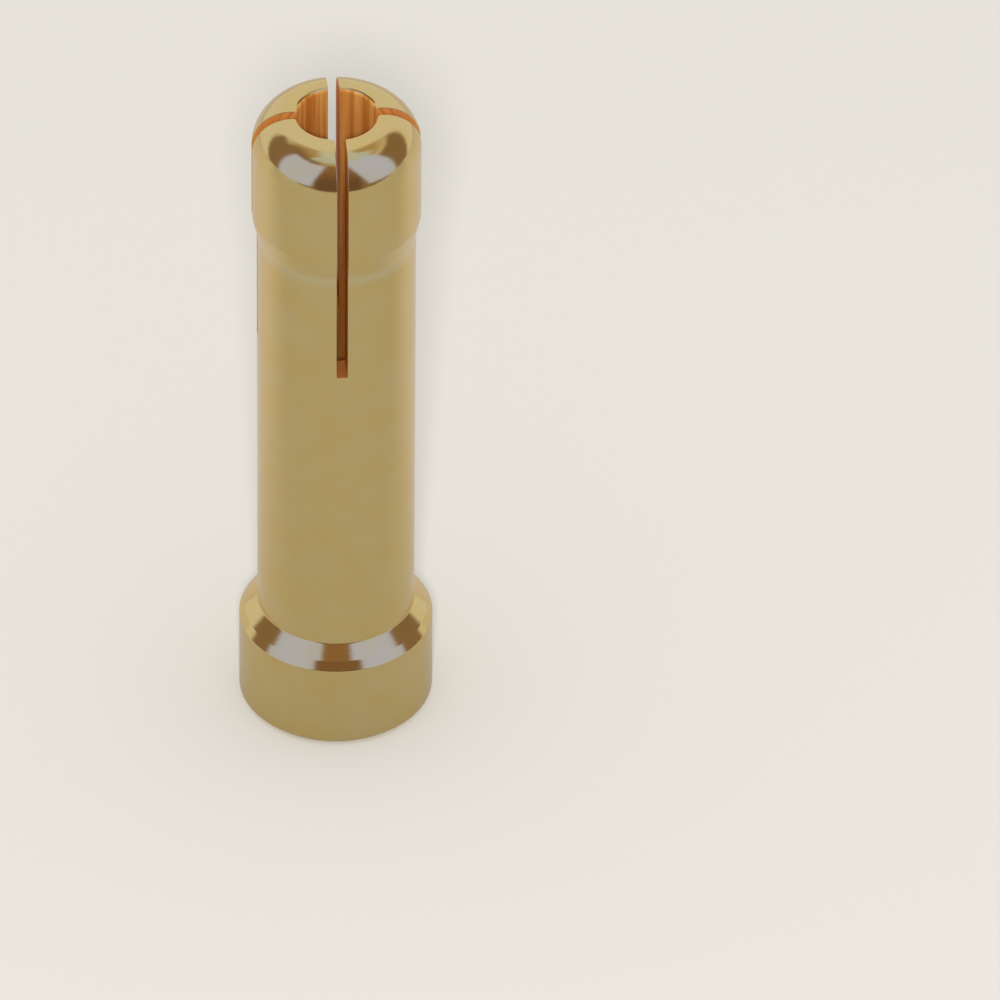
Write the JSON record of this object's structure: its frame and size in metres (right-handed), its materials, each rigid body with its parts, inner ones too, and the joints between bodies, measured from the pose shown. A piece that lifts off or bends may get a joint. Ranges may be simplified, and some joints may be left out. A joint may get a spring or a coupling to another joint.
{
  "type": "battery lead bullet plug",
  "caption": "Round gold-plated bullet plug: a slotted springy head that grips its socket, a plain barrel, and a collar with a cup for soldering a battery lead.",
  "frame": {"origin": "centre of the collar's foot, where the solder cup opens", "axes": "+Z along the plug's axis, from the solder cup to the nose; the spring slots lie in the X and Y planes"},
  "size_m": [0.0058, 0.0058, 0.0218],
  "materials": {
    "gold_plating": "bright gold plating over turned brass"
  },
  "bodies": {
    "root": {"bullet_plug": "gold_plating"}
  },
  "joints": []
}
